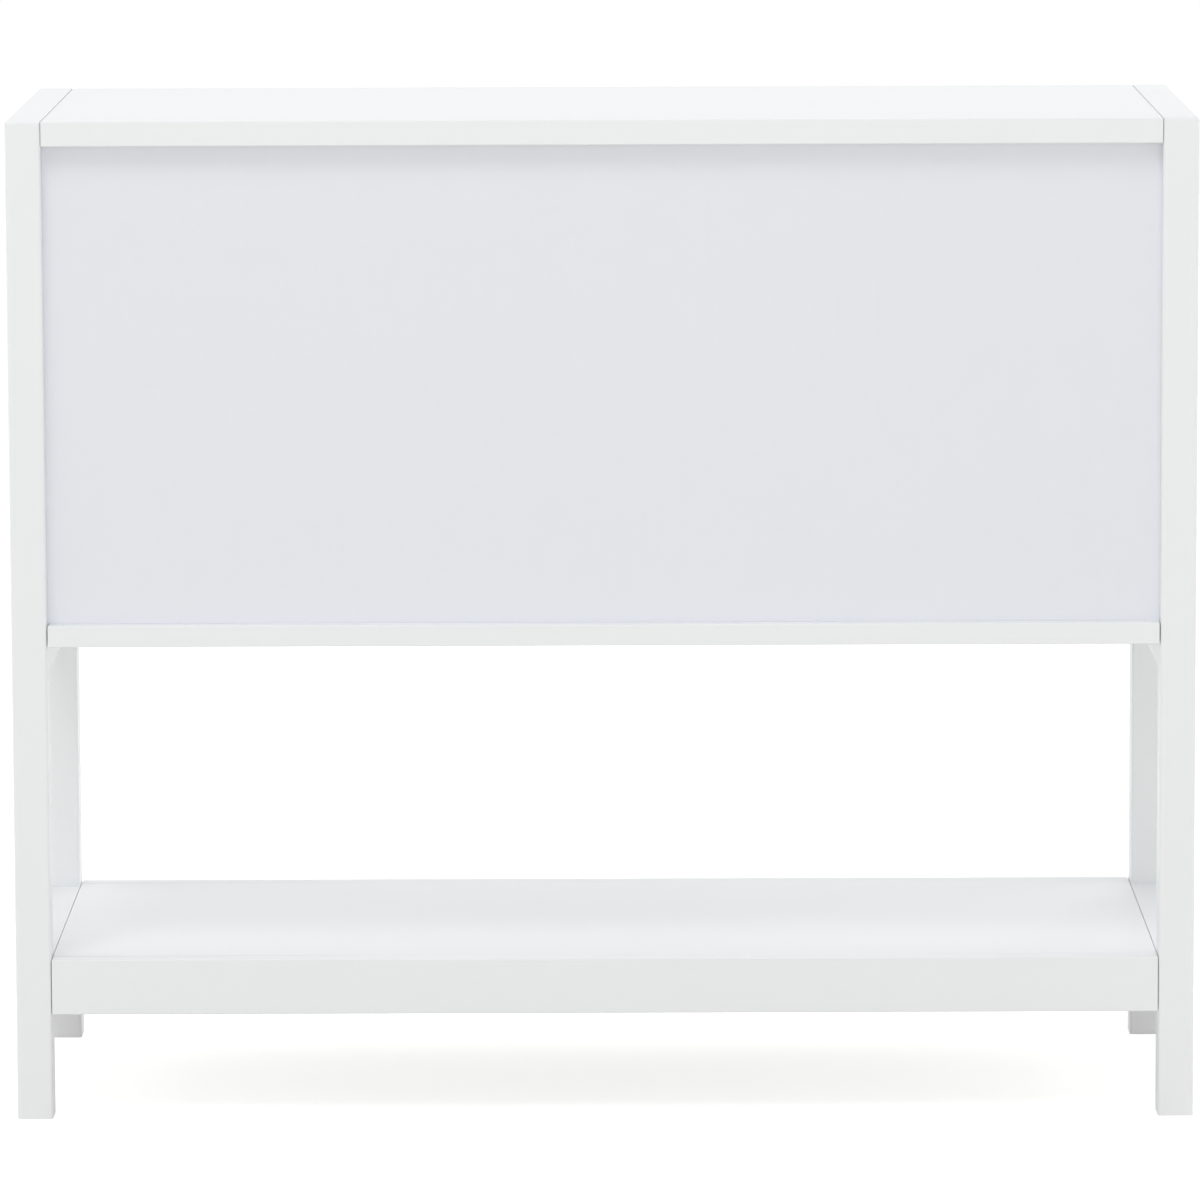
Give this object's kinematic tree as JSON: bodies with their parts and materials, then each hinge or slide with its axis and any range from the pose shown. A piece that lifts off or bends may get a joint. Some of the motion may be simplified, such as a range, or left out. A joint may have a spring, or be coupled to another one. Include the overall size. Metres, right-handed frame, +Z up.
{
  "type": "console table",
  "caption": "White console table with a cabinet of drawers between two side frames, a plain back and a low open shelf; the drawers slide on roller runners.",
  "frame": {"origin": "on the floor, at the middle of the bounding box in X and Y, knobs included", "axes": "+Z up, +X to the right as seen from the front, -Y out of the front, so the plain back faces +Y"},
  "size_m": [1, 0.423, 0.85],
  "materials": {
    "white_lacquer": "satin white lacquer on fibreboard",
    "back_board": "bluish-white faced hardboard",
    "drawer_board": "white foil on fibreboard",
    "drawer_hardboard": "white faced hardboard",
    "knob_metal": "satin nickel",
    "runner_steel": "white powder coat on rolled steel",
    "roller_nylon": "natural white nylon",
    "beech": "plain beech",
    "fitting_steel": "zinc-plated steel",
    "fitting_zinc": "die-cast zinc"
  },
  "bodies": {
    "table": {"left_front_leg": "white_lacquer", "left_back_leg": "white_lacquer", "left_top_rail": "white_lacquer", "left_cabinet_rail": "white_lacquer", "left_shelf_rail": "white_lacquer", "left_side_panel": "white_lacquer", "right_front_leg": "white_lacquer", "right_back_leg": "white_lacquer", "right_top_rail": "white_lacquer", "right_cabinet_rail": "white_lacquer", "right_shelf_rail": "white_lacquer", "right_side_panel": "white_lacquer", "table_top": "white_lacquer", "cabinet_bottom": "white_lacquer", "back_panel": "back_board", "centre_divider": "white_lacquer", "lower_shelf": "white_lacquer", "shelf_front_apron": "white_lacquer", "shelf_back_apron": "white_lacquer", "cabinet_runners": "runner_steel", "wooden_dowels": "beech", "cam_bolts": "fitting_steel", "cam_locks": "fitting_zinc", "divider_screws": "fitting_steel"},
    "lower_left_drawer": {"lower_left_drawer_front": "white_lacquer", "lower_left_drawer_left_side": "drawer_board", "lower_left_drawer_right_side": "drawer_board", "lower_left_drawer_back": "drawer_board", "lower_left_drawer_bottom": "drawer_hardboard", "lower_left_drawer_knob": "knob_metal", "lower_left_drawer_runners": "runner_steel"},
    "lower_left_drawer_rear_rollers": {"lower_left_drawer_rear_rollers": "roller_nylon"},
    "lower_left_drawer_front_rollers": {"lower_left_drawer_front_rollers": "roller_nylon"},
    "lower_right_drawer": {"lower_right_drawer_front": "white_lacquer", "lower_right_drawer_left_side": "drawer_board", "lower_right_drawer_right_side": "drawer_board", "lower_right_drawer_back": "drawer_board", "lower_right_drawer_bottom": "drawer_hardboard", "lower_right_drawer_knob": "knob_metal", "lower_right_drawer_runners": "runner_steel"},
    "lower_right_drawer_rear_rollers": {"lower_right_drawer_rear_rollers": "roller_nylon"},
    "lower_right_drawer_front_rollers": {"lower_right_drawer_front_rollers": "roller_nylon"},
    "upper_left_drawer": {"upper_left_drawer_front": "white_lacquer", "upper_left_drawer_left_side": "drawer_board", "upper_left_drawer_right_side": "drawer_board", "upper_left_drawer_back": "drawer_board", "upper_left_drawer_bottom": "drawer_hardboard", "upper_left_drawer_knob": "knob_metal", "upper_left_drawer_runners": "runner_steel"},
    "upper_left_drawer_rear_rollers": {"upper_left_drawer_rear_rollers": "roller_nylon"},
    "upper_left_drawer_front_rollers": {"upper_left_drawer_front_rollers": "roller_nylon"},
    "upper_right_drawer": {"upper_right_drawer_front": "white_lacquer", "upper_right_drawer_left_side": "drawer_board", "upper_right_drawer_right_side": "drawer_board", "upper_right_drawer_back": "drawer_board", "upper_right_drawer_bottom": "drawer_hardboard", "upper_right_drawer_knob": "knob_metal", "upper_right_drawer_runners": "runner_steel"},
    "upper_right_drawer_rear_rollers": {"upper_right_drawer_rear_rollers": "roller_nylon"},
    "upper_right_drawer_front_rollers": {"upper_right_drawer_front_rollers": "roller_nylon"}
  },
  "joints": [
    {"name": "lower_left_drawer_slide", "type": "slide", "parent": "table", "child": "lower_left_drawer", "axis": [0, -1, 0], "range_m": [0, 0.26]},
    {"name": "lower_left_drawer_rear_rollers_turn", "type": "hinge", "parent": "lower_left_drawer", "child": "lower_left_drawer_rear_rollers", "pos_m": [-0.2395, 0.1713, 0.4522], "axis": [1, 0, 0], "continuous": true},
    {"name": "lower_left_drawer_front_rollers_turn", "type": "hinge", "parent": "table", "child": "lower_left_drawer_front_rollers", "pos_m": [-0.2395, -0.157, 0.454], "axis": [1, 0, 0], "continuous": true},
    {"name": "lower_right_drawer_slide", "type": "slide", "parent": "table", "child": "lower_right_drawer", "axis": [0, -1, 0], "range_m": [0, 0.26]},
    {"name": "lower_right_drawer_rear_rollers_turn", "type": "hinge", "parent": "lower_right_drawer", "child": "lower_right_drawer_rear_rollers", "pos_m": [0.2395, 0.1713, 0.4522], "axis": [1, 0, 0], "continuous": true},
    {"name": "lower_right_drawer_front_rollers_turn", "type": "hinge", "parent": "table", "child": "lower_right_drawer_front_rollers", "pos_m": [0.2395, -0.157, 0.454], "axis": [1, 0, 0], "continuous": true},
    {"name": "upper_left_drawer_slide", "type": "slide", "parent": "table", "child": "upper_left_drawer", "axis": [0, -1, 0], "range_m": [0, 0.26]},
    {"name": "upper_left_drawer_rear_rollers_turn", "type": "hinge", "parent": "upper_left_drawer", "child": "upper_left_drawer_rear_rollers", "pos_m": [-0.2395, 0.1713, 0.65325], "axis": [1, 0, 0], "continuous": true},
    {"name": "upper_left_drawer_front_rollers_turn", "type": "hinge", "parent": "table", "child": "upper_left_drawer_front_rollers", "pos_m": [-0.2395, -0.157, 0.65505], "axis": [1, 0, 0], "continuous": true},
    {"name": "upper_right_drawer_slide", "type": "slide", "parent": "table", "child": "upper_right_drawer", "axis": [0, -1, 0], "range_m": [0, 0.26]},
    {"name": "upper_right_drawer_rear_rollers_turn", "type": "hinge", "parent": "upper_right_drawer", "child": "upper_right_drawer_rear_rollers", "pos_m": [0.2395, 0.1713, 0.65325], "axis": [1, 0, 0], "continuous": true},
    {"name": "upper_right_drawer_front_rollers_turn", "type": "hinge", "parent": "table", "child": "upper_right_drawer_front_rollers", "pos_m": [0.2395, -0.157, 0.65505], "axis": [1, 0, 0], "continuous": true}
  ],
  "couplings": [
    {"joint": "lower_left_drawer_rear_rollers_turn", "follows": "lower_left_drawer_slide", "rad_per_m": 142.86},
    {"joint": "lower_left_drawer_front_rollers_turn", "follows": "lower_left_drawer_slide", "rad_per_m": 142.86},
    {"joint": "lower_right_drawer_rear_rollers_turn", "follows": "lower_right_drawer_slide", "rad_per_m": 142.86},
    {"joint": "lower_right_drawer_front_rollers_turn", "follows": "lower_right_drawer_slide", "rad_per_m": 142.86},
    {"joint": "upper_left_drawer_rear_rollers_turn", "follows": "upper_left_drawer_slide", "rad_per_m": 142.86},
    {"joint": "upper_left_drawer_front_rollers_turn", "follows": "upper_left_drawer_slide", "rad_per_m": 142.86},
    {"joint": "upper_right_drawer_rear_rollers_turn", "follows": "upper_right_drawer_slide", "rad_per_m": 142.86},
    {"joint": "upper_right_drawer_front_rollers_turn", "follows": "upper_right_drawer_slide", "rad_per_m": 142.86}
  ]
}
